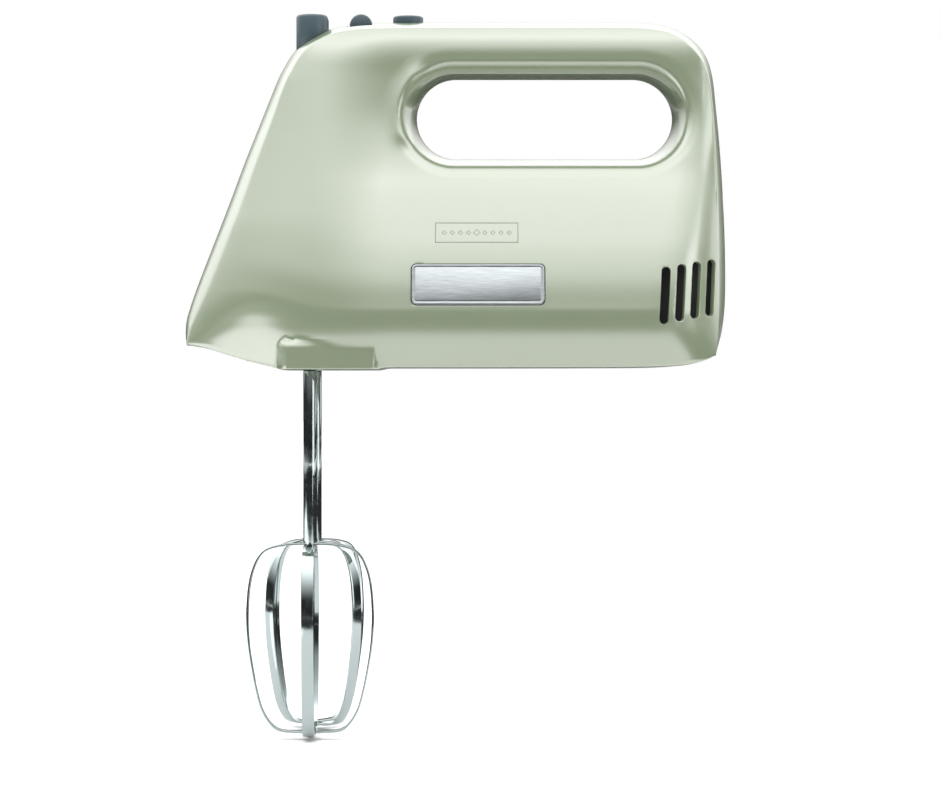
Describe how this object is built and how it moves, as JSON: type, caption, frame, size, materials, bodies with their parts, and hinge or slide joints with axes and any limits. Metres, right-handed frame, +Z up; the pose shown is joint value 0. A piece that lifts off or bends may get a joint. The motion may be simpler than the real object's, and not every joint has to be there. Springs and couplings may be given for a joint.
{
  "type": "hand mixer",
  "caption": "Hand-held electric mixer with a closed-loop handle, counter-turning wire beaters, an eject button, a sliding speed tab and a pulse button.",
  "frame": {"origin": "centre of the hand grip, on the middle line of the handle bar", "axes": "-X to the nose, +X to the heel, +Y to the right side, +Z up; the beaters hang towards -Z"},
  "size_m": [0.1976, 0.082, 0.2638],
  "materials": {
    "sage_gloss": "glossy moulded shell, pale sage green",
    "slate_matte": "fine-textured dark blue-grey",
    "chrome": "mirror-polished plating",
    "brushed_badge": "horizontally brushed plate",
    "cast_alloy": "as cast",
    "ground_steel": "ground",
    "laminated_steel": "stacked sheets, varnished",
    "copper_wire": "enamelled copper",
    "bronze": "sintered bronze",
    "carbon": "pressed graphite",
    "spring_steel": "drawn wire",
    "black_plastic": "moulded",
    "black_rubber": "soft moulded",
    "board_green": "solder mask",
    "capacitor_case": "dipped case",
    "terminal_plastic": "natural nylon",
    "lead_white": "insulated leads",
    "zinc_screw": "zinc plated"
  },
  "bodies": {
    "housing": {"left_housing": "sage_gloss", "right_housing": "sage_gloss", "badge_plate": "brushed_badge", "cord_gland": "black_rubber", "cord_clamp": "black_plastic", "terminal_block": "terminal_plastic", "air_baffles": "black_plastic", "gearbox_frame": "cast_alloy", "gearbox_cover": "cast_alloy", "lower_bushes": "bronze", "upper_bushes": "bronze", "front_bearing": "ground_steel", "middle_bearing": "ground_steel", "rear_bearing": "ground_steel", "rear_bracket": "cast_alloy", "stator_core": "laminated_steel", "field_coils": "copper_wire", "brush_holders": "bronze", "carbon_brushes": "carbon", "brush_springs": "spring_steel", "speed_switch": "black_plastic", "pulse_switch": "black_plastic", "circuit_board": "board_green", "suppressor_capacitor": "capacitor_case", "speed_triac": "black_plastic", "eject_guide": "black_plastic", "eject_spring": "spring_steel", "pulse_spring": "spring_steel", "inner_leads": "lead_white", "housing_screws": "zinc_screw", "gearbox_screws": "zinc_screw", "bracket_screws": "zinc_screw"},
    "armature": {"armature_shaft": "ground_steel", "worm": "ground_steel", "armature_core": "laminated_steel", "armature_windings": "copper_wire", "commutator": "copper_wire", "cooling_fan": "black_plastic"},
    "spindle_left": {"left_spindle": "ground_steel", "left_worm_wheel": "bronze", "left_spindle_clip": "ground_steel"},
    "spindle_right": {"right_spindle": "ground_steel", "right_worm_wheel": "bronze", "right_spindle_clip": "ground_steel"},
    "beater_left": {"left_beater_shaft": "chrome", "left_outer_loop": "chrome", "left_inner_loop": "chrome"},
    "beater_right": {"right_beater_shaft": "chrome", "right_outer_loop": "chrome", "right_inner_loop": "chrome"},
    "ejector": {"eject_button": "slate_matte", "eject_rod": "ground_steel", "eject_fork": "black_plastic"},
    "speed_slider": {"speed_tab": "slate_matte", "speed_carriage": "black_plastic"},
    "pulse_key": {"pulse_button": "slate_matte", "pulse_plunger": "ground_steel"}
  },
  "joints": [
    {"name": "armature_spin", "type": "hinge", "parent": "housing", "child": "armature", "pos_m": [-0.08495, 0, -0.08605], "axis": [1, 0, 0], "continuous": true},
    {"name": "left_spindle_spin", "type": "hinge", "parent": "housing", "child": "spindle_left", "pos_m": [-0.08495, -0.02, -0.08605], "axis": [0, 0, 1], "continuous": true},
    {"name": "right_spindle_spin", "type": "hinge", "parent": "housing", "child": "spindle_right", "pos_m": [-0.08495, 0.02, -0.08605], "axis": [0, 0, 1], "continuous": true},
    {"name": "eject_press", "type": "slide", "parent": "housing", "child": "ejector", "axis": [0, 0, -1], "range_m": [0, 0.006], "stiffness_N_per_m": 900, "springref_m": -0.004, "deforming": ["eject_spring"]},
    {"name": "left_beater_release", "type": "slide", "parent": "spindle_left", "child": "beater_left", "axis": [0, 0, -1], "range_m": [0, 0.006]},
    {"name": "right_beater_release", "type": "slide", "parent": "spindle_right", "child": "beater_right", "axis": [0, 0, -1], "range_m": [0, 0.006]},
    {"name": "speed_slide", "type": "slide", "parent": "housing", "child": "speed_slider", "axis": [0, -1, 0], "range_m": [0, 0.016]},
    {"name": "pulse_press", "type": "slide", "parent": "housing", "child": "pulse_key", "axis": [0, 0, -1], "range_m": [0, 0.002], "stiffness_N_per_m": 600, "springref_m": -0.002, "deforming": ["pulse_spring"]}
  ],
  "couplings": [
    {"joint": "left_spindle_spin", "follows": "armature_spin", "ratio": 0.038462},
    {"joint": "right_spindle_spin", "follows": "armature_spin", "ratio": -0.038462},
    {"joint": "left_beater_release", "follows": "eject_press", "ratio": 1},
    {"joint": "right_beater_release", "follows": "eject_press", "ratio": 1}
  ]
}
